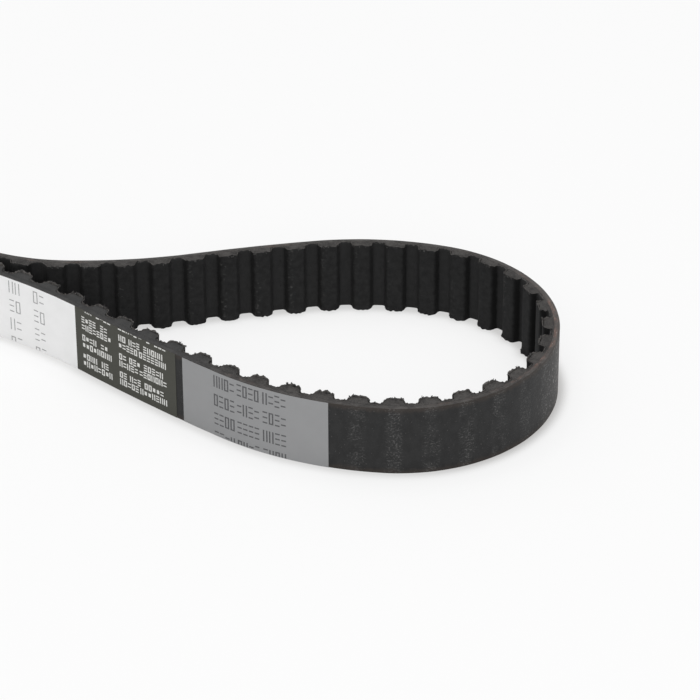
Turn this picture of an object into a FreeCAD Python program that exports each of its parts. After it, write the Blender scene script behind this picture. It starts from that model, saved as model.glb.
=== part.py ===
import FreeCAD, Part
import math
import os

# An endless rubber timing belt, standing on its cut edge. Millimetres.
# The belt lies relaxed as two lobes with a narrow waist between them. The origin is the middle of
# the waist on the surface the belt stands on; +X runs along the two lobes, +Z across the belt.

# Tooth profile and section
tooth_pitch = 9.525
teeth_per_lobe = 41
belt_width = 20.0
cord_to_back = 1.524
cord_to_land = 0.686
tooth_height = 2.29
tooth_root_width = 6.12
flank_angle = math.radians(20.0)
root_radius = 1.02
tip_radius = 1.02
facing_thickness = 0.2

# Tension cords: turns of twisted glass cord, side by side across the belt
cord_diameter = 0.8
cord_spacing = 1.4
cord_turns = 14

# Printed films on the back: where each starts and ends along the cord line, from the waist
film_thickness = 0.08
skin_inset = 0.05
films = {
    "white_print_film": (-22.0, 38.75),
    "olive_print_film": (38.75, 76.5),
    "grey_print_film": (79.0, 123.6),
}

# One lobe of the cord line, from the waist round to the waist: turn in degrees, then radius.
# A radius of None is worked out, so that the lobe closes and holds a whole number of teeth.
waist_direction = math.radians(-10.0)
waist_clearance = 0.4
lobe_bends = [
    (-14.5, 165.0),
    (5.0, None),
    (31.5, 84.0),
    (168.5, None),
    (27.5, 77.0),
    (5.0, None),
    (-16.5, 127.0),
    (-26.5, 51.0),
]
first_tooth = 0.75 * tooth_pitch

lobe_length = teeth_per_lobe * tooth_pitch
loop_length = 2 * lobe_length
tooth_count = 2 * teeth_per_lobe
cord_radius = cord_diameter / 2
waist_half_gap = cord_to_land + tooth_height + waist_clearance
up = FreeCAD.Vector(0, 0, 1)


def heading(angle):
    return FreeCAD.Vector(math.cos(angle), math.sin(angle), 0)


def outward(angle):
    """The side of the path away from the inside of the loop, for a path that heads at angle."""
    return FreeCAD.Vector(math.sin(angle), -math.cos(angle), 0)


def solve_three(rows, right_side):
    """Three linear equations in three unknowns, by Cramer's rule."""
    matrix = FreeCAD.Matrix()
    matrix.A11, matrix.A12, matrix.A13 = rows[0]
    matrix.A21, matrix.A22, matrix.A23 = rows[1]
    matrix.A31, matrix.A32, matrix.A33 = rows[2]
    return matrix.inverse() * FreeCAD.Vector(*right_side)


def solve_lobe_radii():
    """The bend radii of a lobe, with the three open ones found from its closure and length."""
    angle = waist_direction
    crossing = outward(waist_direction) * (-2 * waist_half_gap)
    remaining = [crossing.x, crossing.y, lobe_length]
    open_columns = []
    for turn_degrees, radius in lobe_bends:
        turn = math.radians(turn_degrees)
        side = math.copysign(1, turn)
        step = (outward(angle + turn) - outward(angle)) * side
        column = [step.x, step.y, abs(turn)]
        if radius is None:
            open_columns.append(column)
        else:
            remaining = [total - share * radius for total, share in zip(remaining, column)]
        angle += turn
    rows = list(zip(*open_columns))
    found = iter(solve_three(rows, remaining))
    return [next(found) if radius is None else radius for _, radius in lobe_bends]


class Bend:
    """One circular arc of the cord line."""

    def __init__(self, start, angle, turn, radius, travelled):
        self.start_angle = angle
        self.turn = turn
        self.side = math.copysign(1, turn)
        self.radius = radius
        self.begins = travelled
        self.ends = travelled + radius * abs(turn)
        self.centre = start - outward(angle) * (radius * self.side)

    def angle_at(self, travelled):
        return self.start_angle + self.side * (travelled - self.begins) / self.radius

    def point(self, travelled, offset):
        out = outward(self.angle_at(travelled))
        return self.centre + out * (self.radius * self.side + offset)

    def sweep(self, edge):
        """The face that an edge leaves as it goes round this bend."""
        return edge.revolve(self.centre, up * self.side, math.degrees(abs(self.turn)))


def build_path():
    """The closed cord line: the lobe, then the same lobe turned half round about the waist."""
    bends = []
    angle = waist_direction
    travelled = 0.0
    start = outward(waist_direction) * waist_half_gap
    radii = solve_lobe_radii()
    for _ in range(2):
        for (turn_degrees, _), radius in zip(lobe_bends, radii):
            bend = Bend(start, angle, math.radians(turn_degrees), radius, travelled)
            bends.append(bend)
            start = bend.point(bend.ends, 0)
            angle += bend.turn
            travelled = bend.ends
    return bends


path = build_path()


def bend_at(travelled):
    for bend in path:
        if travelled <= bend.ends:
            return bend
    return path[-1]


def path_point(travelled, offset):
    """A point beside the cord line: offset is positive towards the back of the belt."""
    travelled %= loop_length
    return bend_at(travelled).point(travelled, offset)


def tooth_frame_point(middle, along, offset):
    """A point on a tooth that keeps its moulded shape however the belt bends."""
    bend = bend_at(middle)
    angle = bend.angle_at(middle)
    return bend.point(middle, offset) + heading(angle) * along


def arc_edge(first, middle, last):
    return Part.Arc(first, middle, last).toShape()


def line_edge(first, last):
    return Part.LineSegment(first, last).toShape()


def offset_edges(begins, ends, offset):
    """Arcs beside the cord line, from one distance along it to another."""
    edges = []
    for lap in (-loop_length, 0.0):
        for bend in path:
            first = max(begins, bend.begins + lap)
            last = min(ends, bend.ends + lap)
            if last - first > 1e-6:
                stations = (first, (first + last) / 2, last)
                edges.append(arc_edge(*[bend.point(s - lap, offset) for s in stations]))
    return edges


def half_profile(skin):
    """Half a tooth, from its root to its tip: distance from the tooth's middle, offset from the
    cord line, and how far the point follows the bend of the land rather than the tooth.
    The profile lies skin deep under the running face."""
    cosine, sine, tangent = math.cos(flank_angle), math.sin(flank_angle), math.tan(flank_angle)
    corner_turn = math.pi / 2 - flank_angle
    land = cord_to_land - skin
    tip = cord_to_land + tooth_height - skin
    flank_at_land = tooth_root_width / 2 - skin / cosine + skin * tangent
    flank_at_tip = flank_at_land - tooth_height * tangent
    root = root_radius + skin
    crown = tip_radius - skin
    root_run = root * math.tan(corner_turn / 2)
    crown_run = crown * math.tan(corner_turn / 2)
    middle_turn = corner_turn / 2
    root_start = flank_at_land + root_run
    crown_end = flank_at_tip - crown_run
    return [
        (root_start, -land, 1.0),
        (root_start - root * math.sin(middle_turn), -land - root * (1 - math.cos(middle_turn)), 0.5),
        (flank_at_land - root_run * sine, -land - root_run * cosine, 0.0),
        (flank_at_tip + crown_run * sine, -tip + crown_run * cosine, 0.0),
        (crown_end + crown * math.sin(middle_turn), -tip + crown * (1 - math.cos(middle_turn)), 0.0),
        (crown_end, -tip, 0.0),
    ]


def tooth_points(middle, skin):
    """The twelve points of one tooth's outline, from the land before it to the land after it."""
    half = half_profile(skin)
    signed = [(-along, offset, share) for along, offset, share in half] + half[::-1]
    points = []
    for along, offset, share in signed:
        stiff = tooth_frame_point(middle, along, offset)
        bent = path_point(middle + along, offset)
        points.append(stiff * (1 - share) + bent * share)
    return points


def toothed_wire(skin):
    """The closed outline of all the teeth and the lands between them."""
    middles = [first_tooth + number * tooth_pitch for number in range(tooth_count)]
    teeth = [tooth_points(middle, skin) for middle in middles]
    edges = []
    for number, points in enumerate(teeth):
        following = teeth[(number + 1) % tooth_count]
        edges.append(arc_edge(*points[0:3]))
        edges.append(line_edge(points[2], points[3]))
        edges.append(arc_edge(*points[3:6]))
        edges.append(line_edge(points[5], points[6]))
        edges.append(arc_edge(*points[6:9]))
        edges.append(line_edge(points[8], points[9]))
        edges.append(arc_edge(*points[9:12]))
        land_middle = path_point(middles[number] + tooth_pitch / 2, skin - cord_to_land)
        edges.append(arc_edge(points[11], land_middle, following[0]))
    return Part.Wire(edges)


def flat_ring(outer_wire, inner_wire):
    """A flat face between two closed outlines."""
    return Part.makeFace([outer_wire, inner_wire], "Part::FaceMakerBullseye")


def raised(shape, height):
    copy = shape.copy()
    copy.translate(up * height)
    return copy


def sewn_solid(faces):
    """One closed solid from faces that meet edge to edge."""
    skin = Part.Compound(faces)
    skin.sewShape()
    solid = Part.Solid(skin.Shells[0])
    if solid.Volume < 0:
        solid.reverse()
    return solid


def cord_heights():
    lowest = (belt_width - (cord_turns - 1) * cord_spacing) / 2
    return [lowest + number * cord_spacing for number in range(cord_turns)]


def split_section(bend, side):
    """The line across the belt where two rubber layers meet, bowed out round each cord.
    side is 1 for bows towards the back of the belt and -1 for bows towards the teeth."""
    foot = bend.point(bend.begins, 0)
    bow = outward(bend.start_angle) * (side * cord_radius)
    edges = []
    reached = 0.0
    for height in cord_heights():
        below = foot + up * (height - cord_radius)
        above = foot + up * (height + cord_radius)
        edges.append(line_edge(foot + up * reached, below))
        edges.append(arc_edge(below, foot + bow + up * height, above))
        reached = height + cord_radius
    edges.append(line_edge(foot + up * reached, foot + up * belt_width))
    return edges


def split_faces(side):
    return [bend.sweep(edge) for bend in path for edge in split_section(bend, side)]


def backing_rubber():
    """The smooth back of the belt, from the cords outwards."""
    outer = Part.Wire(offset_edges(0, loop_length, cord_to_back))
    inner = Part.Wire(offset_edges(0, loop_length, 0))
    ring = flat_ring(outer, inner)
    back = outer.extrude(up * belt_width)
    return sewn_solid([ring, raised(ring, belt_width)] + back.Faces + split_faces(1))


def tooth_rubber():
    """The teeth and the web between them, from the cords inwards."""
    outer = Part.Wire(offset_edges(0, loop_length, 0))
    inner = toothed_wire(facing_thickness)
    ring = flat_ring(outer, inner)
    flanks = inner.extrude(up * belt_width)
    return sewn_solid([ring, raised(ring, belt_width)] + flanks.Faces + split_faces(-1))


def tooth_facing():
    """The woven cloth bonded over the teeth and lands."""
    cloth = flat_ring(toothed_wire(facing_thickness), toothed_wire(0.0))
    return raised(cloth, skin_inset).extrude(up * (belt_width - 2 * skin_inset))


def cord_turn(height):
    """One turn of tension cord, a closed round tube along the cord line."""
    faces = []
    for bend in path:
        middle = bend.point(bend.begins, 0) + up * height
        section = Part.Circle(middle, heading(bend.start_angle), cord_radius).toShape()
        faces.append(bend.sweep(section))
    return sewn_solid(faces)


def print_film(begins, ends):
    """A thin printed film on the back of the belt."""
    inner = offset_edges(begins, ends, cord_to_back)
    outer = offset_edges(begins, ends, cord_to_back + film_thickness)
    sides = [
        line_edge(path_point(s, cord_to_back), path_point(s, cord_to_back + film_thickness))
        for s in (begins, ends)
    ]
    outline = Part.Wire(Part.__sortEdges__(inner + outer + sides))
    return raised(Part.Face(outline), skin_inset).extrude(up * (belt_width - 2 * skin_inset))


def build_nodes():
    nodes = {
        "backing_rubber": backing_rubber(),
        "tooth_rubber": tooth_rubber(),
        "tooth_facing_fabric": tooth_facing(),
    }
    for number, height in enumerate(cord_heights()):
        twist = "s" if number % 2 == 0 else "z"
        nodes[f"glass_cord_{twist}_turn_{number // 2 + 1}"] = cord_turn(height)
    for name, (begins, ends) in films.items():
        nodes[name] = print_film(begins, ends)
    return nodes


os.makedirs("parts", exist_ok=True)
for name, shape in build_nodes().items():
    shape.exportStep(f"parts/{name}.step")
    print(f"{name}: {shape.ShapeType}, valid {shape.isValid()}, {shape.Volume:.1f} mm3")
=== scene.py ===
import math
import random

import bmesh
import bpy
from mathutils import Matrix, Vector, noise


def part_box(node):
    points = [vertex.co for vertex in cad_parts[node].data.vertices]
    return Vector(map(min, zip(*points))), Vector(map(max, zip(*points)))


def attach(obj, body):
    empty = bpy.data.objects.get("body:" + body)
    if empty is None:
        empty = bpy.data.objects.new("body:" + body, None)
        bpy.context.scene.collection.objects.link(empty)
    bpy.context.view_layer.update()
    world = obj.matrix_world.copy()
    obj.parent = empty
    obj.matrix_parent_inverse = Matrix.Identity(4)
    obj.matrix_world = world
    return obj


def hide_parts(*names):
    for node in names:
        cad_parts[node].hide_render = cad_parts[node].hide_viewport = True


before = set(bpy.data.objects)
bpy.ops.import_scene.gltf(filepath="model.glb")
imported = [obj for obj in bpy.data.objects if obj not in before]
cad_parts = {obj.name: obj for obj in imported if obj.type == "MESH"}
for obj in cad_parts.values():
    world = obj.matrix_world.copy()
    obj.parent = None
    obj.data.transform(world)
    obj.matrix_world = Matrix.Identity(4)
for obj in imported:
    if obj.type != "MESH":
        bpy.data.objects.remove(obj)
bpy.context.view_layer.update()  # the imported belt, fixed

mm = 0.001

# the line that the cords follow, as the belt lies
belt = {
    "pitch": 9.525 * mm,
    "teethPerLobe": 41,
    "firstTooth": 0.75,  # in pitches from the waist
    "back": 1.524 * mm,  # cord line to the smooth back
    "land": 0.686 * mm,  # cord line to the land between teeth
    "toothHeight": 2.29 * mm,
    "rootWidth": 6.12 * mm,
    "flankAngle": math.radians(20),
    "cornerRadius": 1.02 * mm,
    "waistHeading": math.radians(-10),
    "waistHalfGap": 3.376 * mm,
    "lobe": [(-14.5, 165), (5, None), (31.5, 84), (168.5, None),  # turn in degrees, radius in mm
             (27.5, 77), (5, None), (-16.5, 127), (-26.5, 51)],  # None is solved from the closure
    "sinkMark": 0.03 * mm,  # how far the back dips over each gap
    "stiffening": 0.5 * mm,  # how far into a tooth the web's bend dies out
}
weldDistance = 0.002 * mm
cutTilt = 0.8  # a face that looks up or down more than this was cut by the knife
loopTeeth = 2 * belt["teethPerLobe"]
loopLength = loopTeeth * belt["pitch"]
rubberLow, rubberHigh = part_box("backing_rubber")
beltWidth = rubberHigh.z - rubberLow.z


def outward(heading):
    return Vector((math.sin(heading), -math.cos(heading), 0))


def lobeRadii():
    heading = belt["waistHeading"]
    target = outward(heading) * (-2 * belt["waistHalfGap"])
    target.z = belt["teethPerLobe"] * belt["pitch"]
    columns = []
    for turnDegrees, radius in belt["lobe"]:
        turn = math.radians(turnDegrees)
        step = (outward(heading + turn) - outward(heading)) * math.copysign(1, turn)
        step.z = abs(turn)
        if radius is None:
            columns.append(step)
        else:
            target -= step * (radius * mm)
        heading += turn
    solved = iter(Matrix(columns).transposed().inverted() @ target)
    return [next(solved) if radius is None else radius * mm for _, radius in belt["lobe"]]


def layBends():
    bends = []
    start = outward(belt["waistHeading"]) * belt["waistHalfGap"]
    heading = belt["waistHeading"]
    reached = 0.0
    radii = lobeRadii()
    for _ in range(2):
        for (turnDegrees, _), radius in zip(belt["lobe"], radii):
            turn = math.radians(turnDegrees)
            side = math.copysign(1, turn)
            centre = start - outward(heading) * (radius * side)
            bends.append({"begins": reached, "heading": heading,
                          "radius": radius, "side": side, "centre": centre})
            heading += turn
            reached += radius * abs(turn)
            start = centre + outward(heading) * (radius * side)
    return bends


bends = layBends()


def bendAt(along):
    found = bends[0]
    for bend in bends:
        if bend["begins"] > along:
            break
        found = bend
    return found


def onBelt(along, offset, height):
    along %= loopLength
    bend = bendAt(along)
    heading = bend["heading"] + bend["side"] * (along - bend["begins"]) / bend["radius"]
    place = bend["centre"] + outward(heading) * (bend["radius"] * bend["side"] + offset)
    place.z = height
    return place, heading


def toothNumber(along):
    return round(along / belt["pitch"] - belt["firstTooth"])


def wrapPoint(flat):
    # flat.x runs along the belt, flat.y out towards the back, flat.z across the width
    along, offset, height = flat
    if offset > 0:
        dip = math.cos(2 * math.pi * (along / belt["pitch"] - belt["firstTooth"]))
        offset += belt["sinkMark"] * (dip - 1) / 2 * min(1, offset / belt["back"])
    bent = onBelt(along, offset, height)[0]
    below = -offset - belt["land"]
    if below <= 0:
        return bent
    # teeth keep their moulded shape, only the web bends
    middle = (toothNumber(along) + belt["firstTooth"]) * belt["pitch"]
    stiff, heading = onBelt(middle, offset, height)
    stiff += Vector((math.cos(heading), math.sin(heading), 0)) * (along - middle)
    share = min(1, below / belt["stiffening"])
    return bent.lerp(stiff, share * share * (3 - 2 * share))


def wrapOnPath(bm):
    for vertex in bm.verts:
        vertex.co = wrapPoint(vertex.co)


def layUv(bm):
    # one unit of the map is one tooth pitch
    # a cut face is mapped along and through the belt, any other along and across it
    layer = bm.loops.layers.uv.new("belt")
    for face in bm.faces:
        isCut = abs(face.normal.z) > cutTilt
        for loop in face.loops:
            second = loop.vert.co.y if isCut else loop.vert.co.z
            loop[layer].uv = (loop.vert.co.x / belt["pitch"], second / belt["pitch"])


def drawOut(bm, step, steps, asCopies=False):
    geometry = bm.verts[:] + bm.edges[:] + bm.faces[:]
    bmesh.ops.spin(bm, geom=geometry, cent=(0, 0, 0), axis=(0, 0, 1), dvec=step, angle=0,
                   steps=steps, use_duplicate=asCopies)


def repeatPitch(bm):
    drawOut(bm, (belt["pitch"], 0, 0), loopTeeth - 1, asCopies=True)


def addBlock(bm, size, middle):
    corners = bmesh.ops.create_cube(bm, size=1)["verts"]
    bmesh.ops.scale(bm, verts=corners, vec=size)
    bmesh.ops.translate(bm, verts=corners, vec=middle)


def layOnBelt(bm):
    bm.normal_update()
    layUv(bm)
    wrapOnPath(bm)
    bmesh.ops.recalc_face_normals(bm, faces=bm.faces)


def addObject(name, data):
    made = bpy.data.objects.new(name, data)
    bpy.context.scene.collection.objects.link(made)
    return made


def finishPiece(bm, name, materials, replaced, smooth=True):
    mesh = bpy.data.meshes.new(name)
    for face in bm.faces:
        face.smooth = smooth
    bm.to_mesh(mesh)
    bm.free()
    piece = addObject(name, mesh)
    for material in materials:
        mesh.materials.append(material)
    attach(piece, "root")
    if replaced:
        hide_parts(replaced)
    print("made", name, len(mesh.polygons), "faces")


print("path laid:", len(bends), "bends,", round(loopLength / mm, 2), "mm round")


# what the finishes are made with
def startMaterial(name, finish):
    material = bpy.data.materials.new(name)
    material.use_nodes = True
    tree = material.node_tree
    shader = tree.nodes["Principled BSDF"]
    shader.inputs["Roughness"].default_value = finish["roughness"]
    shader.inputs["Specular IOR Level"].default_value = finish["specular"]
    return material, tree, shader


def setOrLink(tree, socket, value):
    if isinstance(value, tuple):
        socket.default_value = (*value, 1)[:len(socket.default_value)]  # a colour also gets its alpha
    elif isinstance(value, (int, float)):
        socket.default_value = value
    else:
        tree.links.new(value, socket)


def addNode(tree, kind, inputs):
    made = tree.nodes.new("ShaderNode" + kind)
    for name, value in inputs.items():
        setOrLink(tree, made.inputs[name], value)
    return made


def addRange(tree, value, low, high, first=0.0, last=1.0):
    # smooth step from first to last as the value goes from low to high
    inputs = {"Value": value, "From Min": low, "From Max": high, "To Min": first, "To Max": last}
    made = addNode(tree, "MapRange", inputs)
    made.interpolation_type = "SMOOTHSTEP"
    return made.outputs["Result"]


def addMath(tree, operation, *values):
    made = tree.nodes.new("ShaderNodeMath")
    made.operation = operation
    for socket, value in zip(made.inputs, values):
        setOrLink(tree, socket, value)
    return made.outputs[0]


def addMix(tree, factor, first, second):
    made = tree.nodes.new("ShaderNodeMix")
    made.data_type = "RGBA"
    for number, value in ((0, factor), (6, first), (7, second)):  # its sockets for colours
        setOrLink(tree, made.inputs[number], value)
    return made.outputs[2]


def addBump(tree, shader, height, strength, distance):
    made = addNode(tree, "Bump", {"Strength": strength, "Distance": distance, "Height": height})
    tree.links.new(made.outputs["Normal"], shader.inputs["Normal"])


def setColour(tree, shader, colour):
    setOrLink(tree, shader.inputs["Base Color"], colour)


def objectCoordinates(tree):
    return tree.nodes.new("ShaderNodeTexCoord").outputs["Object"]


def splitUp(tree, place):
    return addNode(tree, "SeparateXYZ", {"Vector": place}).outputs


def mapCoordinates(tree, name="belt"):
    made = tree.nodes.new("ShaderNodeUVMap")
    made.uv_map = name
    split = splitUp(tree, made.outputs["UV"])
    return made.outputs["UV"], split["X"], split["Y"]


def times(tree, first, *others):
    for other in others:
        first = addMath(tree, "MULTIPLY", first, other)
    return first


def addWindow(tree, value, limits):
    # rises from 0 to 1 between the first two limits, and falls back between the last two
    begins, full, fades, ends = limits
    rising = addRange(tree, value, begins, full)
    return times(tree, rising, addRange(tree, value, fades, ends, 1, 0))


def addPattern(tree, place, pattern):
    # a noise given as scale, detail and roughness, stretched first and stepped after if the pattern says so
    if "stretch" in pattern:
        place = addNode(tree, "Mapping", {"Vector": place, "Scale": pattern["stretch"]}).outputs["Vector"]
    scale, detail, roughness = pattern["noise"]
    inputs = {"Vector": place, "Scale": scale, "Detail": detail, "Roughness": roughness}
    value = addNode(tree, "TexNoise", inputs).outputs["Fac"]
    return addRange(tree, value, *pattern["step"]) if "step" in pattern else value


def shadeAndBump(tree, shader, place, finish):
    shade = addPattern(tree, place, finish["shade"])
    setColour(tree, shader, addMix(tree, shade, finish["dark"], finish["light"]))
    addBump(tree, shader, addPattern(tree, place, finish["bumps"]), *finish["bump"])


backFinish = {
    "roughness": 0.60,
    "specular": 0.33,
    "dark": (0.0072, 0.0072, 0.0074),
    "light": (0.0125, 0.0125, 0.0127),
    "cloud": {"stretch": (1, 0.6, 1), "noise": (4.2, 4, 0.6)},
    "cloudStep": (0.35, 0.65),
    "warm": (0.028, 0.0215, 0.0175),  # next to the cut edges
    "warmFrom": -0.07,  # in pitches from a cut edge
    "warmTo": 0.09,
    "warmShare": 0.8,
    "warmUneven": 0.25,
    "column": (-0.35, 0.75),  # step of a cosine that peaks over each tooth
    "patch": {"stretch": (1, 0.7, 1), "noise": (2.4, 3, 0.6), "step": (0.38, 0.60)},
    "bloom": (0.055, 0.055, 0.054),  # a faint haze over each tooth
    "bloomShare": 0.10,
    "rubbed": (0.11, 0.11, 0.11),
    "streaks": {"stretch": (0.22, 1, 1), "noise": (20, 2, 0.5), "step": (0.60, 0.70, 0, 0.5)},
    "grain": (0.165, 0.163, 0.160),
    "grains": {"stretch": (0.75, 1, 1), "noise": (21, 3, 0.65), "step": (0.52, 0.66)},
    "grainShare": 0.42,
    "dustAndSheenStretch": (18.8, 22.3, 27.0, 30.0),  # the stretch of dust and painted sheen, in pitches from the waist
    "dustAndSheen": (0.085, 0.075, 0.068),
    "dustOnGrains": 0.35,
    "dustAndSheenBetween": 0.32,
    "wiped": {"stretch": (1, 0.22, 1), "noise": (5.5, 3, 0.6), "step": (0.50, 0.62, 0, 0.55)},
    "speck": (0.38, 0.37, 0.36),
    "specks": {"noise": (20, 1, 0.5)},
    "speckStep": (0.71, 0.75),
    "moreSpecks": 0.035,  # how much lower the step is along the stretch of dust and painted sheen
    "speckShares": {"column": 0.35, "dustAndSheenStretch": 0.65, "gathered": 0.2, "anywhere": 0.16},
    "flakes": {"noise": (10, 1, 0.5), "step": (0.63, 0.67, 0, 0.9)},
    "bumps": {"noise": (45, 3, 0.6)},
    "grainBump": 0.7,
    "bump": (0.45, 0.07 * mm),  # strength and depth, here and below
}


def backRubberMaterial():
    finish = backFinish
    material, tree, shader = startMaterial("backRubber", finish)
    place, along, across = mapCoordinates(tree)
    cloud = addPattern(tree, place, finish["cloud"])
    colour = addMix(tree, addRange(tree, cloud, *finish["cloudStep"]), finish["dark"], finish["light"])
    # a warm tint within a millimetre or two of each cut edge
    edge = beltWidth / belt["pitch"] / 2
    fromMiddle = addMath(tree, "ABSOLUTE", addMath(tree, "SUBTRACT", across, edge))
    uneven = addMath(tree, "MULTIPLY_ADD", cloud, finish["warmUneven"], fromMiddle)
    begins, full = edge + finish["warmFrom"], edge + finish["warmTo"]
    tint = addRange(tree, uneven, begins, full, 0, finish["warmShare"])
    colour = addMix(tree, tint, colour, finish["warm"])
    # light grains and short rubbed streaks gather in columns over the teeth
    turn = times(tree, addMath(tree, "SUBTRACT", along, belt["firstTooth"]), 2 * math.pi)
    column = addRange(tree, addMath(tree, "COSINE", turn), *finish["column"])
    gathered = times(tree, column, addPattern(tree, place, finish["patch"]))
    colour = addMix(tree, times(tree, gathered, finish["bloomShare"]), colour, finish["bloom"])
    streaks = addPattern(tree, place, finish["streaks"])
    colour = addMix(tree, times(tree, streaks, gathered), colour, finish["rubbed"])
    grains = addPattern(tree, place, finish["grains"])
    colour = addMix(tree, times(tree, grains, gathered, finish["grainShare"]), colour, finish["grain"])
    # dust, with a painted sheen where the belt bends away, along one stretch, wiped off here and there
    dustAndSheenStretch = addWindow(tree, along, finish["dustAndSheenStretch"])
    dust = addMath(tree, "MULTIPLY_ADD", grains, finish["dustOnGrains"], finish["dustAndSheenBetween"])
    colour = addMix(tree, times(tree, dustAndSheenStretch, dust), colour, finish["dustAndSheen"])
    wiped = addPattern(tree, place, finish["wiped"])
    colour = addMix(tree, times(tree, wiped, dustAndSheenStretch), colour, finish["dark"])
    # bright specks and flakes, most of them along the same stretch
    shares = finish["speckShares"]
    often = addMath(tree, "MULTIPLY_ADD", column, shares["column"], shares["dustAndSheenStretch"])
    often = addMath(tree, "MULTIPLY_ADD", dustAndSheenStretch, often, shares["anywhere"])
    often = addMath(tree, "MULTIPLY_ADD", gathered, shares["gathered"], often)
    specks = addPattern(tree, place, finish["specks"])
    likely = addMath(tree, "MULTIPLY_ADD", dustAndSheenStretch, finish["moreSpecks"], specks)
    specks = times(tree, addRange(tree, likely, *finish["speckStep"]), often)
    flakes = times(tree, addPattern(tree, place, finish["flakes"]), dustAndSheenStretch)
    colour = addMix(tree, addMath(tree, "MAXIMUM", specks, flakes), colour, finish["speck"])
    setColour(tree, shader, colour)
    bumps = addPattern(tree, place, finish["bumps"])
    bumps = addMath(tree, "MULTIPLY_ADD", grains, finish["grainBump"], bumps)
    addBump(tree, shader, bumps, *finish["bump"])
    return material


cutFinish = {
    "roughness": 0.78,
    "specular": 0.22,
    "tooth": ((0.021, 0.0198, 0.0192), (0.060, 0.0565, 0.054)),
    "toothGrain": {"stretch": (1, 1, 0.3), "noise": (2300, 5, 0.65)},
    "toothPatch": {"noise": (330, 3, 0.55)},
    "toothFlecks": {"noise": (2900, 2, 0.5)},
    "web": ((0.026, 0.0245, 0.0236), (0.076, 0.0710, 0.068)),
    "webGrain": {"stretch": (0.35, 1, 1), "noise": (24, 5, 0.65)},
    "webPatch": {"noise": (2.4, 3, 0.55)},
    "webFlecks": {"noise": (27, 2, 0.5)},
    "grainShare": 0.55,
    "patchShare": 0.45,
    "mottleStep": (0.38, 0.62),
    "fleck": (0.24, 0.23, 0.215),
    "fleckStep": (0.69, 0.76, 0, 0.55),
    "bump": (0.55, 0.12 * mm),
    "pale": (0.110, 0.105, 0.102),
    "paleStretches": [  # in pitches from the waist, and the share of pale
        ((18.8, 21.5, 24.0, 26.2), 0.32),
        ((19, 24, 60, 64), 0.10),
        ((33, 36, 60, 64), 0.09),
    ],
    "dull": (0.031, 0.0326, 0.0334),  # around the waist, on the printed run
    "dullShare": 0.6,
    "dullGrows": (77, 80),  # in pitches
    "dullFades": (7.0, 11.0),
    "dullAlongX": (-0.04, -0.01, 0.065, 0.100),
    "dullBeforeY": (-4 * mm, 0),
    "cord": (0.21, 0.125, 0.100),  # the treated yarn shows reddish where the knife opened it
    "cordLine": (0.02, 0.15),
    "wander": {"noise": (5, 3, 0.6)},
    "wanderBy": 0.10,
    "wanderFrom": -0.065,
    "opened": (16.8, 20.2, 22.4, 24.8),  # the stretch where it did, in pitches from the waist
    "openedElsewhere": {"stretch": (1, 0, 1), "noise": (0.35, 3, 0.6), "step": (0.50, 0.62, 0, 0.35)},
    "torn": {"stretch": (0.6, 1, 1), "noise": (4.5, 4, 0.65), "step": (0.44, 0.60, 0.15, 1)},
    "fibres": {"stretch": (0.12, 1, 1), "noise": (60, 3, 0.6), "step": (0.35, 0.6, 0, 0.8)},
    "fibre": (0.42, 0.40, 0.38),
    "fibreEnds": {"stretch": (0.6, 1, 1), "noise": (30, 2, 0.5), "step": (0.60, 0.68, 0, 0.8)},
}


def cutSurface(tree, shader, place, part):
    finish = cutFinish
    grain = addPattern(tree, place, finish[part + "Grain"])
    patch = addPattern(tree, place, finish[part + "Patch"])
    flecks = addPattern(tree, place, finish[part + "Flecks"])
    mottle = times(tree, patch, finish["patchShare"])
    mottle = addMath(tree, "ADD", times(tree, grain, finish["grainShare"]), mottle)
    colour = addMix(tree, addRange(tree, mottle, *finish["mottleStep"]), *finish[part])
    colour = addMix(tree, addRange(tree, flecks, *finish["fleckStep"]), colour, finish["fleck"])
    addBump(tree, shader, grain, *finish["bump"])
    return colour


def cutToothMaterial():
    finish = cutFinish
    material, tree, shader = startMaterial("cutToothRubber", finish)
    place = objectCoordinates(tree)
    colour = cutSurface(tree, shader, place, "tooth")
    split = splitUp(tree, place)
    inFront = addRange(tree, split["Y"], *finish["dullBeforeY"], finish["dullShare"], 0)
    duller = times(tree, addWindow(tree, split["X"], finish["dullAlongX"]), inFront)
    setColour(tree, shader, addMix(tree, duller, colour, finish["dull"]))
    return material


def cutBackMaterial():
    finish = cutFinish
    material, tree, shader = startMaterial("cutBackRubber", finish)
    place, along, through = mapCoordinates(tree)
    colour = cutSurface(tree, shader, place, "web")
    for limits, share in finish["paleStretches"]:
        colour = addMix(tree, times(tree, addWindow(tree, along, limits), share), colour, finish["pale"])
    grown = addRange(tree, along, *finish["dullGrows"])
    duller = addMath(tree, "MAXIMUM", grown, addRange(tree, along, *finish["dullFades"], 1, 0))
    colour = addMix(tree, times(tree, duller, finish["dullShare"]), colour, finish["dull"])
    # the cord line, opened most along one stretch and a little here and there
    wander = addPattern(tree, place, finish["wander"])
    wander = addMath(tree, "MULTIPLY_ADD", wander, finish["wanderBy"], finish["wanderFrom"])
    line = addMath(tree, "ABSOLUTE", addMath(tree, "ADD", through, wander))
    line = addRange(tree, line, *finish["cordLine"], 1, 0)
    elsewhere = addPattern(tree, place, finish["openedElsewhere"])
    elsewhere = times(tree, elsewhere, addMath(tree, "SUBTRACT", 1, duller))
    opened = addMath(tree, "MAXIMUM", addWindow(tree, along, finish["opened"]), elsewhere)
    opened = times(tree, line, opened, addPattern(tree, place, finish["torn"]))
    shown = times(tree, opened, addPattern(tree, place, finish["fibres"]))
    colour = addMix(tree, shown, colour, finish["cord"])
    ends = addPattern(tree, place, finish["fibreEnds"])
    colour = addMix(tree, times(tree, opened, ends), colour, finish["fibre"])
    setColour(tree, shader, colour)
    return material


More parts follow.
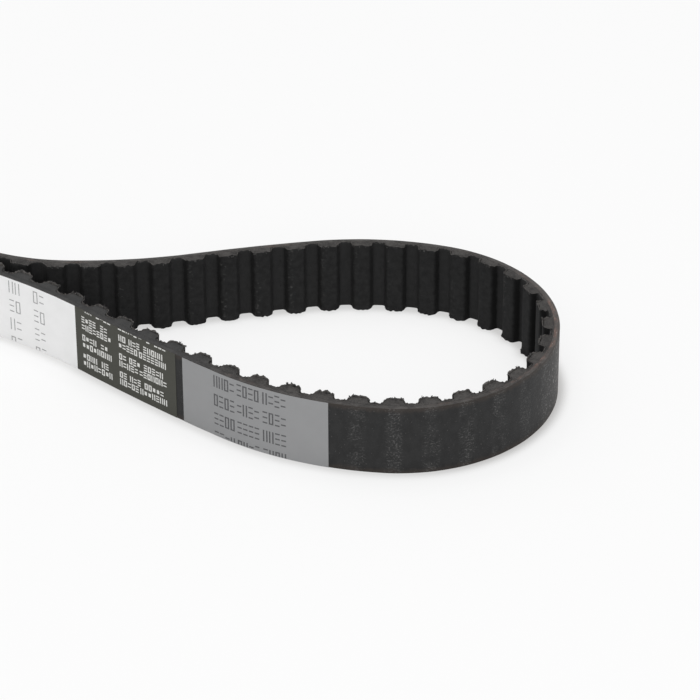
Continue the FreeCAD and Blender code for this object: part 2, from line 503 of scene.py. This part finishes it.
clothFinish = {
    "roughness": 0.84,
    "specular": 0.10,
    "sheen": 0.02,
    "sheenRoughness": 0.6,
    "dark": (0.0155, 0.0155, 0.0158),
    "light": (0.0250, 0.0250, 0.0252),
    "cloud": {"noise": (7, 4, 0.6)},
    "cloudStep": (0.28, 0.72),
    "threads": 34,  # in the length of cloth that covers one tooth and one land
    "weaveStep": (-0.6, 0.6, 0.30, 0),
    "weaveBump": 0.45,
    "hollowAndShade": (0.0015, 0.0015, 0.0015),  # the weave's hollows and pits, and painted shade on the flanks, whose cloth is also less rubbed
    "flankShade": (0.14, 0.22, 0.29, 0.35),  # in cloth lengths from the middle of a crown
    "flankShare": 0.76,
    "wander": {"noise": (6, 2, 0.6)},
    "wanderBy": 0.10,
    "wanderFrom": -0.05,
    "land": (0.034, 0.034, 0.034),
    "landStep": (0.33, 0.40, 0, 0.35),
    "lint": (0.145, 0.143, 0.140),
    "lintPatch": {"noise": (1.7, 3, 0.6), "step": (0.42, 0.62, 0.1, 1)},
    "lintyTeeth": {"stretch": (1, 0.4, 1), "noise": (0.55, 2, 0.6), "step": (0.46, 0.58, 0.30, 1)},
    "lints": {"noise": (40, 2, 0.55), "step": (0.70, 0.76)},
    "lintShare": 0.3,
    "corner": (0.03, 0.11, 0.17, 0.23),  # one corner of a crown catches the most
    "caught": {"noise": (15, 2, 0.5), "step": (0.54, 0.68, 0, 0.34)},
    "pits": {"noise": (27, 2, 0.5), "step": (0.26, 0.34, 0.75, 0)},
    "bump": (0.4, 0.1 * mm),
}
# its rubber-soaked inner side, seen only at the cut edges
insideFinish = {
    "roughness": 0.78,
    "specular": 0.10,
    "dark": (0.046, 0.0430, 0.0412),
    "light": (0.096, 0.0900, 0.086),
    "shade": {"noise": (20, 3, 0.6), "step": (0.35, 0.65)},
    "bumps": {"noise": (60, 2, 0.5)},
    "bump": (0.4, 0.08 * mm),
}


def clothMaterial():
    finish = clothFinish
    material, tree, shader = startMaterial("facingCloth", finish)
    shader.inputs["Sheen Weight"].default_value = finish["sheen"]
    shader.inputs["Sheen Roughness"].default_value = finish["sheenRoughness"]
    place, along, across = mapCoordinates(tree, "cloth")
    waves = 2 * math.pi * finish["threads"]
    crossing = times(tree, *(addMath(tree, "SINE", times(tree, way, waves)) for way in (along, across)))
    cloud = addPattern(tree, place, finish["cloud"])
    colour = addMix(tree, addRange(tree, cloud, *finish["cloudStep"]), finish["dark"], finish["light"])
    colour = addMix(tree, addRange(tree, crossing, *finish["weaveStep"]), colour, finish["hollowAndShade"])
    # 0 is the middle of a crown, 0.5 either way the middle of a land
    aside = addMath(tree, "SUBTRACT", addMath(tree, "FRACT", along), 0.5)
    fromCrown = addMath(tree, "ABSOLUTE", aside)
    colour = addMix(tree, addRange(tree, fromCrown, *finish["landStep"]), colour, finish["land"])
    # painted shade along the flanks, where the teeth face each other
    wander = addPattern(tree, place, finish["wander"])
    wander = addMath(tree, "MULTIPLY_ADD", wander, finish["wanderBy"], finish["wanderFrom"])
    flankShade = addWindow(tree, addMath(tree, "ADD", fromCrown, wander), finish["flankShade"])
    colour = addMix(tree, times(tree, flankShade, finish["flankShare"]), colour, finish["hollowAndShade"])
    # lint, on some teeth more than on others
    patch = addPattern(tree, place, finish["lintPatch"])
    patch = times(tree, patch, addPattern(tree, place, finish["lintyTeeth"]))
    lint = times(tree, addPattern(tree, place, finish["lints"]), times(tree, patch, finish["lintShare"]))
    colour = addMix(tree, lint, colour, finish["lint"])
    corner = times(tree, addWindow(tree, aside, finish["corner"]), patch)
    caught = addPattern(tree, place, finish["caught"])
    colour = addMix(tree, times(tree, caught, corner), colour, finish["lint"])
    colour = addMix(tree, addPattern(tree, place, finish["pits"]), colour, finish["hollowAndShade"])
    setColour(tree, shader, colour)
    raised = addMath(tree, "MULTIPLY_ADD", crossing, finish["weaveBump"], cloud)
    addBump(tree, shader, raised, *finish["bump"])
    return material


def clothInsideMaterial():
    finish = insideFinish
    material, tree, shader = startMaterial("facingClothInside", finish)
    shadeAndBump(tree, shader, mapCoordinates(tree, "cloth")[0], finish)
    return material


filmFinish = {
    "contrast": 0.015,
    "patch": {"noise": (1.6, 4, 0.6), "step": (0.35, 0.65)},
    "wear": {"noise": (30, 3, 0.6), "step": (0.68, 0.78, 0, 0.18)},
    "bumps": {"noise": (34, 3, 0.55)},
    "bump": (0.12, 0.04 * mm),
}
inkFinish = {
    "roughness": 0.6,
    "specular": 0.25,
    "wear": {"noise": (26, 3, 0.6), "step": (0.40, 0.62, 0, 0.6)},
    "bumps": {"noise": (50, 2, 0.5)},
    "bump": (0.2, 0.03 * mm),
}


def filmMaterial(name, film):
    finish = filmFinish
    material, tree, shader = startMaterial(name, film)
    place = mapCoordinates(tree)[0]
    lighter = tuple((1 + finish["contrast"]) * part for part in film["colour"])
    darker = tuple((1 - finish["contrast"]) * part for part in film["colour"])
    colour = addMix(tree, addPattern(tree, place, finish["patch"]), darker, lighter)
    setColour(tree, shader, addMix(tree, addPattern(tree, place, finish["wear"]), colour, film["worn"]))
    addBump(tree, shader, addPattern(tree, place, finish["bumps"]), *finish["bump"])
    return material


def inkMaterial(name, ink):
    finish = inkFinish
    material, tree, shader = startMaterial(name, finish)
    place = mapCoordinates(tree)[0]
    worn = addPattern(tree, place, finish["wear"])
    setColour(tree, shader, addMix(tree, worn, ink["full"], ink["thin"]))
    addBump(tree, shader, addPattern(tree, place, finish["bumps"]), *finish["bump"])
    return material


yarnFinish = {
    "roughness": 0.5,
    "specular": 0.4,
    "lean": {"s": 0.6, "z": -0.6},
    "bands": 900,
    "distortion": 1.5,
    "dark": (0.16, 0.075, 0.045),
    "light": (0.36, 0.20, 0.13),
    "bump": (0.6, 0.1 * mm),
}


def yarnMaterial(twistWay):
    finish = yarnFinish
    material, tree, shader = startMaterial(twistWay + "TwistYarn", finish)
    inputs = {"Vector": objectCoordinates(tree), "Rotation": (0, finish["lean"][twistWay], 0)}
    turned = addNode(tree, "Mapping", inputs).outputs["Vector"]
    inputs = {"Vector": turned, "Scale": finish["bands"], "Distortion": finish["distortion"]}
    twist = addNode(tree, "TexWave", inputs)
    twist.bands_direction = "DIAGONAL"
    colour = addMix(tree, twist.outputs["Fac"], finish["dark"], finish["light"])
    setColour(tree, shader, colour)
    addBump(tree, shader, twist.outputs["Fac"], *finish["bump"])
    return material


backRubber = backRubberMaterial()
cutBack = cutBackMaterial()
cutTooth = cutToothMaterial()
facingCloth = clothMaterial()
facingClothInside = clothInsideMaterial()
print("materials ready")

# the rubber back, with the grooves that the cords lie in
backing = {
    "edgeRound": 0.12 * mm,
    "edgeSegments": 3,
    "backCuts": 7,  # across the smooth back
    "cordRadius": 0.4 * mm,
    "cordSpacing": 1.4 * mm,
    "cordTurns": 14,
    "grooveSegments": 6,
    "stepsPerPitch": 8,
}


def backingSection(bm):
    lowest = (beltWidth - (backing["cordTurns"] - 1) * backing["cordSpacing"]) / 2
    chain = [bm.verts.new((0, 0, 0))]
    for number in range(backing["cordTurns"]):
        height = lowest + number * backing["cordSpacing"]
        foot = bm.verts.new((0, 0, height - backing["cordRadius"]))
        bm.edges.new((chain[-1], foot))
        before = set(bm.verts)
        bmesh.ops.spin(bm, geom=[foot], cent=(0, 0, height), axis=(1, 0, 0), angle=math.pi,
                       steps=backing["grooveSegments"])
        chain.append(max(set(bm.verts) - before, key=lambda vertex: vertex.co.z))
    topInner = bm.verts.new((0, 0, beltWidth))
    topOuter = bm.verts.new((0, belt["back"], beltWidth))
    lowOuter = bm.verts.new((0, belt["back"], 0))
    bm.edges.new((chain[-1], topInner))
    bm.edges.new((topInner, topOuter))
    bm.edges.new((topOuter, lowOuter))
    bm.edges.new((lowOuter, chain[0]))
    bmesh.ops.contextual_create(bm, geom=bm.edges[:])
    bmesh.ops.bevel(bm, geom=[topOuter, lowOuter], affect="VERTICES", offset=backing["edgeRound"],
                    segments=backing["edgeSegments"], profile=0.5, material=-1)
    bmesh.ops.delete(bm, geom=bm.faces[:], context="FACES_ONLY")
    longest = max(bm.edges, key=lambda edge: edge.calc_length())
    bmesh.ops.subdivide_edges(bm, edges=[longest], cuts=backing["backCuts"])


def makeBacking():
    bm = bmesh.new()
    backingSection(bm)
    steps = backing["stepsPerPitch"]
    drawOut(bm, (belt["pitch"] / steps, 0, 0), steps)
    bmesh.ops.recalc_face_normals(bm, faces=bm.faces)
    repeatPitch(bm)
    bm.normal_update()
    for face in bm.faces:
        isCut = abs(face.normal.z) > cutTilt and face.calc_center_median().y > 0
        face.material_index = 1 if isCut else 0
    layUv(bm)
    wrapOnPath(bm)
    bmesh.ops.remove_doubles(bm, verts=bm.verts, dist=weldDistance)
    bmesh.ops.recalc_face_normals(bm, faces=bm.faces)
    finishPiece(bm, "backingRubber", [backRubber, cutBack], "backing_rubber")


makeBacking()
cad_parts["tooth_rubber"].material_slots[0].material = cutTooth
yarns = {twistWay: yarnMaterial(twistWay) for twistWay in yarnFinish["lean"]}
for nodeName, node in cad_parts.items():
    if nodeName.startswith("glass_cord"):
        twistWay = nodeName.split("_")[2]
        node.material_slots[0].material = yarns[twistWay]

# the cloth over the teeth
facing = {
    "thickness": 0.2 * mm,
    "inset": 0.05 * mm,  # the cloth starts just inside the rubber's cut edge
    "uneven": 0.03 * mm,  # how far its face rises and falls
    "slowTurns": 60,  # how fast the slow and the quick unevenness change round the loop
    "slowAcross": 3 * mm,
    "quickTurns": 210,
    "quickThrough": 0.6 * mm,
    "quickAcross": 1 * mm,
    "cornerSegments": 4,
    "flatStep": 0.62 * mm,
    "rows": 16,
    "rowEase": 0.75,  # how much closer the rows lie at the two edges
    "flare": 0.34 * mm,  # how much thicker the frayed upper edge is at the middle of a crown
    "lowerFlare": 0.95 * mm,  # and the lower one
    "flareShares": (0.7, 0.9),  # the steady part of both, and the part that comes and goes
    "farThinner": 0.7,  # how much the upper one loses along the far run
    "flareReach": 0.55 * mm,
    "flareWidth": 0.85,  # in half root widths
    "proud": 0.13 * mm,  # how far the upper edge stands up over the lands
    "crownProud": 0.26 * mm,  # and how much further at the crowns
    "farProud": 0.26 * mm,  # and along the far run
    "farRun": (20.0, 26.0, 38.0, 41.0),  # in pitches from the waist
    "ragged": 0.55 * mm,  # how far the knife leaves it uneven
    "edgeTilt": 0.7,  # a face that looks out over its edge more than this was cut
}


def toothProfile(bm):
    # one pitch of the running face, from the middle of one land to the middle of the next
    half = belt["rootWidth"] / 2
    crown = half - belt["toothHeight"] * math.tan(belt["flankAngle"])
    land, tip, end = -belt["land"], -belt["land"] - belt["toothHeight"], belt["pitch"] / 2
    shape = [(-end, land), (-half, land), (-crown, tip), (crown, tip), (half, land), (end, land)]
    corners = [bm.verts.new((x, y, 0)) for x, y in shape]
    closing = [bm.verts.new((x, belt["back"], 0)) for x in (end, -end)]
    bm.faces.new(corners + closing)
    reach = belt["cornerRadius"] * math.tan((math.pi / 2 - belt["flankAngle"]) / 2)
    bmesh.ops.bevel(bm, geom=corners[1:5], affect="VERTICES", offset=reach, offset_type="OFFSET",
                    segments=facing["cornerSegments"], profile=0.5, material=-1)
    bmesh.ops.delete(bm, geom=bm.faces[:], context="FACES_ONLY")
    bmesh.ops.delete(bm, geom=[vertex for vertex in bm.verts if vertex.co.y > 0], context="VERTS")
    for flat in bm.edges[:]:
        cuts = math.ceil(flat.calc_length() / facing["flatStep"]) - 1
        if cuts > 0:
            bmesh.ops.subdivide_edges(bm, edges=[flat], cuts=cuts)
    bmesh.ops.translate(bm, verts=bm.verts, vec=(belt["firstTooth"] * belt["pitch"], 0, 0))


def measureCloth(bm):
    # how far along the cloth each point is, up and down over the tooth
    measured = bm.verts.layers.float.new("measured")
    here = min(bm.verts, key=lambda vertex: vertex.co.x)
    here[measured] = 0
    passed = {here}
    while True:
        ahead = [edge for edge in here.link_edges if edge.other_vert(here) not in passed]
        if not ahead:
            return measured, here[measured]
        following = ahead[0].other_vert(here)
        following[measured] = here[measured] + ahead[0].calc_length()
        passed.add(following)
        here = following


def layClothUv(bm, measured, whole):
    # one unit of the map is the cloth over one tooth and one land
    layer = bm.loops.layers.uv.new("cloth")
    for face in bm.faces:
        tooth = toothNumber(face.calc_center_median().x)
        for loop in face.loops:
            loop[layer].uv = (tooth + loop.vert[measured] / whole, loop.vert.co.z / whole)


def easeRows(bm):
    span = beltWidth - 2 * facing["inset"]
    for vertex in bm.verts:
        share = vertex.co.z / span
        share -= facing["rowEase"] * math.sin(2 * math.pi * share) / (2 * math.pi)
        vertex.co.z = facing["inset"] + span * share


def farShare(along):
    begins, full, fades, ends = facing["farRun"]
    pitches = along / belt["pitch"]
    return max(0, min(1, (pitches - begins) / (full - begins), (ends - pitches) / (ends - fades)))


def roughenCloth(bm):
    # the face goes in and out, the upper edge is raised, and how much thicker each point gets is kept
    low, high = facing["inset"], beltWidth - facing["inset"]
    steady, varying = facing["flareShares"]
    thicker = bm.verts.layers.float.new("thicker")
    for vertex in bm.verts:
        x, y, z = vertex.co
        turn = x / loopLength * 2 * math.pi
        ring = Vector((math.cos(turn), math.sin(turn), 0))
        slow = noise.noise(ring * facing["slowTurns"] + Vector((0, 0, z / facing["slowAcross"])))
        depth = y / facing["quickThrough"] + z / facing["quickAcross"]
        quick = noise.noise(ring * facing["quickTurns"] + Vector((0, 0, depth)))
        fromMiddle = abs(x - (toothNumber(x) + belt["firstTooth"]) * belt["pitch"])
        aside = fromMiddle / (belt["rootWidth"] / 2)
        dome = math.cos(math.pi / 2 * min(1, aside / facing["flareWidth"]))
        fromEdge = min(z - low, high - z) / facing["flareReach"]
        most = facing["lowerFlare"]
        if z > beltWidth / 2:
            most = facing["flare"] * (1 - facing["farThinner"] * farShare(x))
        vertex[thicker] = most * dome * math.exp(-fromEdge ** 2) * max(0, steady + varying * quick)
        vertex.co.y += facing["uneven"] * slow
        if z > high - weldDistance:
            rise = facing["proud"] + facing["crownProud"] * dome + facing["farProud"] * farShare(x)
            vertex.co.z += max(0, rise + facing["ragged"] * quick)
    return thicker


def makeFacing():
    bm = bmesh.new()
    toothProfile(bm)
    measured, whole = measureCloth(bm)
    height = beltWidth - 2 * facing["inset"]
    drawOut(bm, (0, 0, height / facing["rows"]), facing["rows"])
    easeRows(bm)
    repeatPitch(bm)
    layClothUv(bm, measured, whole)
    thicker = roughenCloth(bm)
    bm.normal_update()
    crown = min(bm.faces, key=lambda face: face.calc_center_median().y)
    if crown.normal.y > 0:  # the cloth's face looks away from the rubber
        bmesh.ops.reverse_faces(bm, faces=bm.faces)
    wrapOnPath(bm)
    bmesh.ops.remove_doubles(bm, verts=bm.verts, dist=weldDistance)
    inner = set(bm.faces)  # solidify leaves these on the rubber's side and lays new ones outside
    onRubber = {vertex for face in inner for vertex in face.verts}
    bmesh.ops.solidify(bm, geom=bm.faces[:], thickness=facing["thickness"])
    bm.normal_update()
    for vertex in bm.verts:
        if vertex not in onRubber:
            away = Vector((vertex.normal.x, vertex.normal.y, 0)).normalized()
            vertex.co += away * vertex[thicker]
    bm.normal_update()
    for face in bm.faces:
        isUpper = face.calc_center_median().z > beltWidth / 2
        outwards = face.normal.z if isUpper else -face.normal.z
        face.material_index = 1 if face in inner or outwards > facing["edgeTilt"] else 0
    materials = [facingCloth, facingClothInside]
    finishPiece(bm, "facingCloth", materials, "tooth_facing_fabric")


makeFacing()

# cut thread ends that stand out of the cloth's two edges
fray = {
    "tuftsPerEdge": 6,  # over each tooth and its land
    "threadsPerTuft": (3, 7),
    "radius": (0.07 * mm, 0.19 * mm),  # of one bundle of filaments
    "length": (0.80 * mm, 1.25 * mm),  # of the longest tufts at the middle of a crown
    "lowerShare": 0.55,  # how long they are at the edge that the belt stands on
    "shortest": 0.35,  # share of it in the shortest
    "shortening": 0.5,  # how much shorter they are away from there
    "shortFrom": 0.6,
    "crownShare": 0.55,  # of the tufts on half a tooth, those up to the end of the crown
    "flankShare": 0.80,  # and those up to the foot of the flank
    "gathering": 1.3,  # over 1, the tufts gather on the crown
    "lean": 0.6,
    "taper": 0.55,
    "centre": 0.4,  # of a bundle, in its length above its foot
    "lift": 0.02 * mm,  # of the lower ones over the surface that the belt stands on
    "probe": 0.2 * mm,
    "spread": 0.24 * mm,
    "depth": (-0.25 * mm, 0.16 * mm),  # of their feet below the cloth's face
    "seed": 11,
    "roughness": 0.85,
    "specular": 0.15,
    "dark": (0.031, 0.0303, 0.0296),
    "light": (0.090, 0.0880, 0.086),
    "shade": {"noise": (900, 2, 0.5), "step": (0.35, 0.65)},
    "bumps": {"noise": (6000, 2, 0.5)},
    "bump": (0.3, 0.03 * mm),
}


def clothPlace(share):
    # a point of the cloth's face over one tooth, by how far from the crown's middle it is
    half = belt["rootWidth"] / 2
    crown = half - belt["toothHeight"] * math.tan(belt["flankAngle"])
    crownShare, flankShare = fray["crownShare"], fray["flankShare"]
    side, share = math.copysign(1, share), abs(share)
    if share < crownShare:
        return side * crown * share / crownShare, -belt["land"] - belt["toothHeight"]
    if share < flankShare:
        down = (share - crownShare) / (flankShare - crownShare)
        return side * (crown + (half - crown) * down), -belt["land"] - belt["toothHeight"] * (1 - down)
    over = (share - flankShare) / (1 - flankShare)
    return side * (half + (belt["pitch"] / 2 - half) * over), -belt["land"]


def addThread(bm, chance, near, length, isTop):
    radius = chance.uniform(*fray["radius"])
    near.z = beltWidth if isTop else radius + fray["lift"]
    foot = wrapPoint(near)
    ahead = (wrapPoint(near + Vector((fray["probe"], 0, 0))) - foot).normalized()
    away = (wrapPoint(near + Vector((0, -fray["probe"], 0))) - foot).normalized()
    direction = ahead * chance.uniform(-1, 1) * fray["lean"]
    if isTop:
        direction += away * chance.uniform(0, 1) * fray["lean"] + Vector((0, 0, 1))
    else:
        direction += away
    direction.normalize()
    turned = direction.to_track_quat("Z", "Y").to_matrix().to_4x4()
    placed = Matrix.Translation(foot + direction * (length * fray["centre"])) @ turned
    bmesh.ops.create_cone(bm, cap_ends=True, cap_tris=False, segments=4, radius1=radius,
                          radius2=radius * fray["taper"], depth=length, matrix=placed)


def frayTooth(tooth, chance):
    bm = bmesh.new()
    middle = (tooth + belt["firstTooth"]) * belt["pitch"]
    for isTop in (True, False):
        for _ in range(fray["tuftsPerEdge"]):
            share = chance.choice((-1, 1)) * chance.random() ** fray["gathering"]
            x, y = clothPlace(share)
            reach = 1 - fray["shortening"] * min(1, abs(share) / fray["shortFrom"]) ** 2
            reach *= chance.uniform(fray["shortest"], 1) * (1 if isTop else fray["lowerShare"])
            for _ in range(chance.randint(*fray["threadsPerTuft"])):
                aside = chance.uniform(-1, 1) * fray["spread"]
                near = Vector((middle + x + aside, y + chance.uniform(*fray["depth"]), 0))
                addThread(bm, chance, near, chance.uniform(*fray["length"]) * reach, isTop)
    return bm


def makeFray():
    chance = random.Random(fray["seed"])
    passing = bpy.data.meshes.new("passing")
    bm = bmesh.new()
    for tooth in range(loopTeeth):
        part = frayTooth(tooth, chance)
        part.to_mesh(passing)
        part.free()
        bm.from_mesh(passing)
    bpy.data.meshes.remove(passing)
    bmesh.ops.recalc_face_normals(bm, faces=bm.faces)
    finishPiece(bm, "frayedThreadEnds", [frayedThread], None)


def threadMaterial():
    material, tree, shader = startMaterial("frayedThread", fray)
    shadeAndBump(tree, shader, objectCoordinates(tree), fray)
    return material


frayedThread = threadMaterial()
makeFray()

# the printed films on the back, in order from the waist
films = {
    "thickness": 0.08 * mm,
    "inset": 0.06 * mm,
    "step": 1.2 * mm,
    # spans are in mm along the cord line
    "white": {"span": (-22.0, 38.75), "colour": (0.815, 0.815, 0.815),
              "worn": (0.62, 0.62, 0.61), "roughness": 0.5, "specular": 0.3},
    "olive": {"span": (38.75, 76.5), "colour": (0.050, 0.050, 0.0405),
              "worn": (0.10, 0.10, 0.09), "roughness": 0.62, "specular": 0.3},
    "grey": {"span": (79.0, 123.6), "colour": (0.262, 0.264, 0.268),
             "worn": (0.34, 0.34, 0.345), "roughness": 0.5, "specular": 0.3},
}


def makeFilm(tone):
    film = films[tone]
    begins, ends = (value * mm for value in film["span"])
    bm = bmesh.new()
    size = (ends - begins, films["thickness"], beltWidth - 2 * films["inset"])
    addBlock(bm, size, ((begins + ends) / 2, belt["back"] + films["thickness"] / 2, beltWidth / 2))
    along = [edge for edge in bm.edges if abs(edge.verts[0].co.x - edge.verts[1].co.x) > films["step"]]
    cuts = round((ends - begins) / films["step"])
    bmesh.ops.subdivide_edges(bm, edges=along, cuts=cuts, use_grid_fill=True)
    layOnBelt(bm)
    made = filmMaterial(tone + "Film", film)
    slot = tone + "_print"
    finishPiece(bm, tone + "PrintFilm", [made], slot + "_film", smooth=False)


for tone in ("white", "olive", "grey"):
    makeFilm(tone)

# plain bar marks in place of print; they spell nothing
# all in mm; a word is where it starts, its number of marks, its foot in the top row, and its first row
marks = {
    "thickness": 0.03,
    "rise": 0.005,  # of their middle over the film's face
    "rows": 4,
    "margin": 0.15,  # left bare along the film's two edges
    "least": 0.05,  # anything lower than this is left out
    "gap": 0.01,  # between the bars of a frame
    "levels": {"rungs": (0, 0.5, 1), "pair": (0.2, 0.8)},
    "block": (0.12, 0.2, 0.76, 0.6),  # its place and size in the mark's own
    "seed": 5,
    "white": {
        "slot": "grey_print",
        "ink": {"full": (0.27, 0.27, 0.275), "thin": (0.50, 0.50, 0.50)},
        "stroke": 0.31,
        "glyph": (1.6, 3.75),
        "advance": 2.25,
        "kinds": ("frame", "rungs", "posts", "pair"),
        "words": [(14.0, 2, 15.5, 0), (22.8, 2, 15.1, 0)],
        "rowStep": 5.9,
    },
    "olive": {
        "slot": "white_print",
        "ink": {"full": (0.74, 0.74, 0.72), "thin": (0.46, 0.46, 0.44)},
        "stroke": 0.37,
        "glyph": (1.15, 1.9),
        "advance": 1.45,
        "kinds": ("frame", "rungs", "posts", "pair", "block"),
        "words": [(41.3, 8, 19.45, 0), (55.6, 5, 19.45, 0), (63.2, 7, 19.45, 0),
                  (41.3, 4, 21.75, 1), (48.6, 2, 21.75, 1), (55.6, 2, 21.75, 1),
                  (59.4, 3, 21.75, 1), (64.9, 5, 21.75, 1)],
        "rowStep": 5.75,
    },
    "grey": {
        "slot": "olive_print",
        "ink": {"full": (0.075, 0.075, 0.078), "thin": (0.13, 0.13, 0.135)},
        "stroke": 0.40,
        "glyph": (1.35, 3.6),
        "advance": 1.78,
        "kinds": ("frame", "rungs", "posts", "pair"),
        "words": [(89.9, 4, 15.3, 0), (97.5, 4, 15.3, 0), (105.3, 4, 15.3, 0)],
        "rowStep": 5.8,
    },
}


def addBar(bm, x, z, width, height):
    # cut off at the film's edges, as rows of print are
    low = max(z, marks["margin"])
    high = min(z + height, beltWidth / mm - marks["margin"])
    if high - low < marks["least"]:
        return
    size = (width * mm, marks["thickness"] * mm, (high - low) * mm)
    outwards = belt["back"] + films["thickness"] + marks["rise"] * mm
    addBlock(bm, size, ((x + width / 2) * mm, outwards, (low + high) / 2 * mm))


def addGlyph(bm, kind, x, z, size, stroke):
    width, height = size
    if kind in ("frame", "posts"):
        addBar(bm, x, z, stroke, height)
        addBar(bm, x + width - stroke, z, stroke, height)
    if kind == "frame":
        indent = stroke + marks["gap"]
        for level in (0, height - stroke):
            addBar(bm, x + indent, z + level, width - 2 * indent, stroke)
    for level in marks["levels"].get(kind, ()):
        addBar(bm, x, z + (height - stroke) * level, width, stroke)
    if kind == "block":
        aside, up, wide, tall = marks["block"]
        addBar(bm, x + width * aside, z + height * up, width * wide, height * tall)


def wordsInRows(mark):
    for row in range(marks["rows"]):
        for start, count, foot, firstRow in mark["words"]:
            if row >= firstRow:
                yield start, count, foot - row * mark["rowStep"]


def makeMarks(tone):
    mark = marks[tone]
    chance = random.Random(marks["seed"])
    bm = bmesh.new()
    for start, count, foot in wordsInRows(mark):
        for number in range(count):
            kind = chance.choice(mark["kinds"])
            addGlyph(bm, kind, start + number * mark["advance"], foot, mark["glyph"], mark["stroke"])
    layOnBelt(bm)
    ink = inkMaterial(tone + "FilmInk", mark["ink"])
    finishPiece(bm, tone + "FilmMarks", [ink], None, smooth=False)


for tone in ("white", "olive", "grey"):
    makeMarks(tone)

# the floor, the light and the camera
studio = {
    "floorSize": 12.0,
    "floor": {"colour": (0.86, 0.86, 0.86), "roughness": 0.9, "specular": 0.25},
    "backdrop": (0.97, 0.97, 0.97),
    "plainShare": 0.72,  # how much of the floor is seen as plain backdrop
    "contactReach": 4.5 * mm,  # how far from the belt the backdrop is shaded
    "contactStep": (0.5, 1, 1, 0),  # fully where half of the view up is shut off
    "contactShadowColour": (0.12, 0.105, 0.09),
    "contactShade": (0.30, 0.58),  # its share up to the bend, and past it
    "contactGrows": (0.13, 0.168),  # where it goes from one to the other along X
    "worldStrength": 0.55,
    "cameraPlace": (0.37377, -0.76809, 0.50844),
    "cameraHeading": math.radians(109.011),
    "cameraDip": math.radians(31.474),
    "cameraRoll": -0.00363,
    "focal": 181.53,
    "sensorWidth": 36,
    "clip": (0.01, 100),
}
softboxes = {
    "overhead": {"place": (0.1, 0.1, 1.6), "target": (0.05, 0, 0), "size": (1.6, 1.2), "power": 14},
    "front": {"place": (0.5, -1.4, 0.9), "target": (0.1, 0, 0), "size": (1.2, 0.8), "power": 9},
}


def backdropShare(tree):
    rays = tree.nodes.new("ShaderNodeLightPath")
    mirrored = addMath(tree, "MAXIMUM", rays.outputs["Is Glossy Ray"], rays.outputs["Is Transmission Ray"])
    return addMath(tree, "MAXIMUM", rays.outputs["Is Camera Ray"], mirrored)


def blendIn(tree, factor, first, second, output):
    blend = addNode(tree, "MixShader", {"Fac": factor})
    tree.links.new(first.outputs[0], blend.inputs[1])
    tree.links.new(second.outputs[0], blend.inputs[2])
    tree.links.new(blend.outputs[0], tree.nodes[output].inputs["Surface"])


def makeFloor():
    bm = bmesh.new()
    bmesh.ops.create_grid(bm, x_segments=1, y_segments=1, size=studio["floorSize"] / 2)
    mesh = bpy.data.meshes.new("floor")
    bm.to_mesh(mesh)
    bm.free()
    floor = addObject("floor", mesh)
    material, tree, shader = startMaterial("floorPaper", studio["floor"])
    setColour(tree, shader, studio["floor"]["colour"])
    # painted contact shadow: the plain backdrop darkens right beside the belt, and more so past the bend
    closeBy = addNode(tree, "AmbientOcclusion", {"Distance": studio["contactReach"]})
    shaded = addRange(tree, closeBy.outputs["AO"], *studio["contactStep"])
    alongX = splitUp(tree, objectCoordinates(tree))["X"]
    most = addRange(tree, alongX, *studio["contactGrows"], *studio["contactShade"])
    seen = addMix(tree, times(tree, shaded, most), studio["backdrop"], studio["contactShadowColour"])
    glow = addNode(tree, "Emission", {"Color": seen})
    plain = times(tree, backdropShare(tree), studio["plainShare"])
    blendIn(tree, plain, shader, glow, "Material Output")
    mesh.materials.append(material)


def makeWorld():
    world = bpy.data.worlds.new("studio")
    bpy.context.scene.world = world
    world.use_nodes = True
    tree = world.node_tree
    soft = tree.nodes["Background"]
    soft.inputs["Strength"].default_value = studio["worldStrength"]
    soft.inputs["Color"].default_value = (1, 1, 1, 1)
    seen = addNode(tree, "Background", {"Color": studio["backdrop"]})
    blendIn(tree, backdropShare(tree), soft, seen, "World Output")


def addSoftbox(name, box):
    lamp = bpy.data.lights.new(name, "AREA")
    lamp.shape = "RECTANGLE"
    lamp.size, lamp.size_y = box["size"]
    lamp.energy = box["power"]
    made = addObject(name, lamp)
    made.location = box["place"]
    aim = Vector(box["target"]) - Vector(box["place"])
    made.rotation_euler = aim.to_track_quat("-Z", "Y").to_euler()


def makeCamera():
    lens = bpy.data.cameras.new("camera")
    lens.lens = studio["focal"]
    lens.sensor_width = studio["sensorWidth"]
    lens.clip_start, lens.clip_end = studio["clip"]
    camera = addObject("camera", lens)
    heading, dip, roll = studio["cameraHeading"], studio["cameraDip"], studio["cameraRoll"]
    forward = Vector((math.cos(heading) * math.cos(dip), math.sin(heading) * math.cos(dip), -math.sin(dip)))
    right = Vector((math.sin(heading), -math.cos(heading), 0))
    over = right.cross(forward)
    sideways = right * math.cos(roll) + over * math.sin(roll)
    upwards = over * math.cos(roll) - right * math.sin(roll)
    turned = Matrix((sideways, upwards, -forward)).transposed()
    camera.matrix_world = Matrix.Translation(studio["cameraPlace"]) @ turned.to_4x4()
    bpy.context.scene.camera = camera


makeFloor()
makeWorld()
for boxName, box in softboxes.items():
    addSoftbox(boxName, box)
makeCamera()
bpy.context.scene.view_settings.view_transform = "Standard"
print("studio ready")
